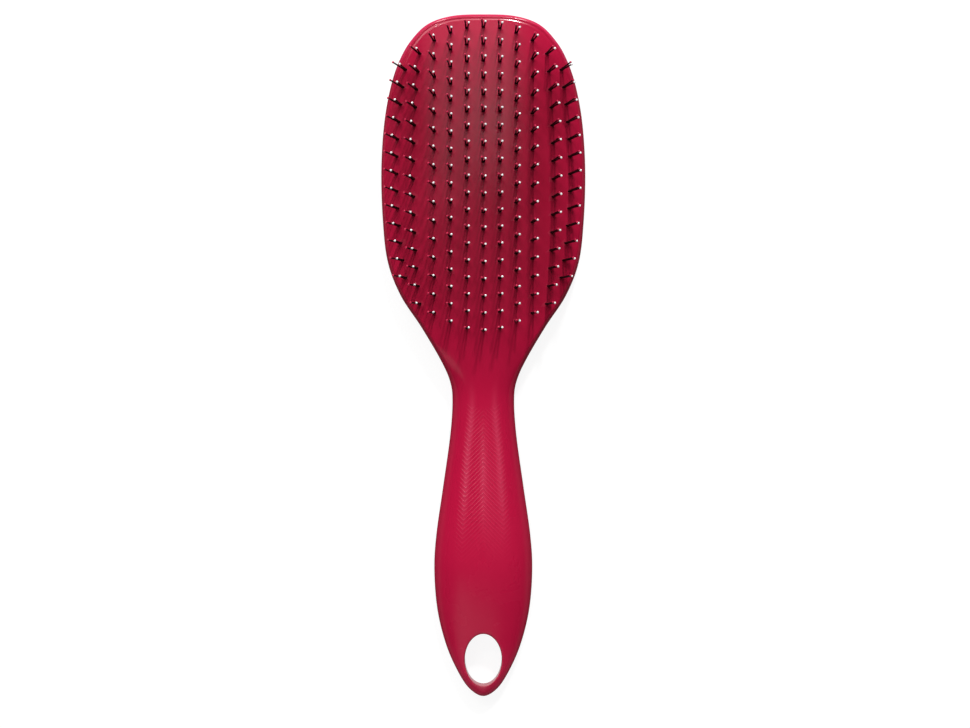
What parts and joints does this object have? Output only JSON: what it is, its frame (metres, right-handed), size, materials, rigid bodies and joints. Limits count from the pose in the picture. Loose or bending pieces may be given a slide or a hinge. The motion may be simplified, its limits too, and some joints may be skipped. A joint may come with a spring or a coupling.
{
  "type": "detangling brush",
  "caption": "Paddle-shaped detangling brush with a two-shell casing, pairs of long and short ball-tipped pins on flexible strips, and an oval hang hole in the handle.",
  "frame": {"origin": "middle of the footprint, on the plane that the brush's back rests on", "axes": "+Z the way the pins point, +Y along the brush towards the head, +X to the right seen from the pin side"},
  "size_m": [0.072, 0.24, 0.0287],
  "materials": {
    "casing": "glossy crimson moulded plastic with a fine chevron grip",
    "back_casing": "polished bright crimson moulded plastic",
    "pins": "flexible near-black nylon",
    "retainer": "plain moulded plastic, hidden",
    "white_tips": "smooth rounded ball",
    "red_tips": "smooth rounded ball"
  },
  "bodies": {
    "root": {"front_shell": "casing", "back_shell": "back_casing", "retainer_plate": "retainer", "white_ball_tips": "white_tips", "red_ball_tips": "red_tips", "pin_strip_1": "pins", "pin_strip_2": "pins", "pin_strip_3": "pins", "pin_strip_4": "pins", "pin_strip_5": "pins", "pin_strip_6": "pins", "pin_strip_7": "pins", "pin_strip_8": "pins", "pin_strip_9": "pins", "pin_strip_10": "pins", "pin_strip_11": "pins"}
  },
  "joints": []
}
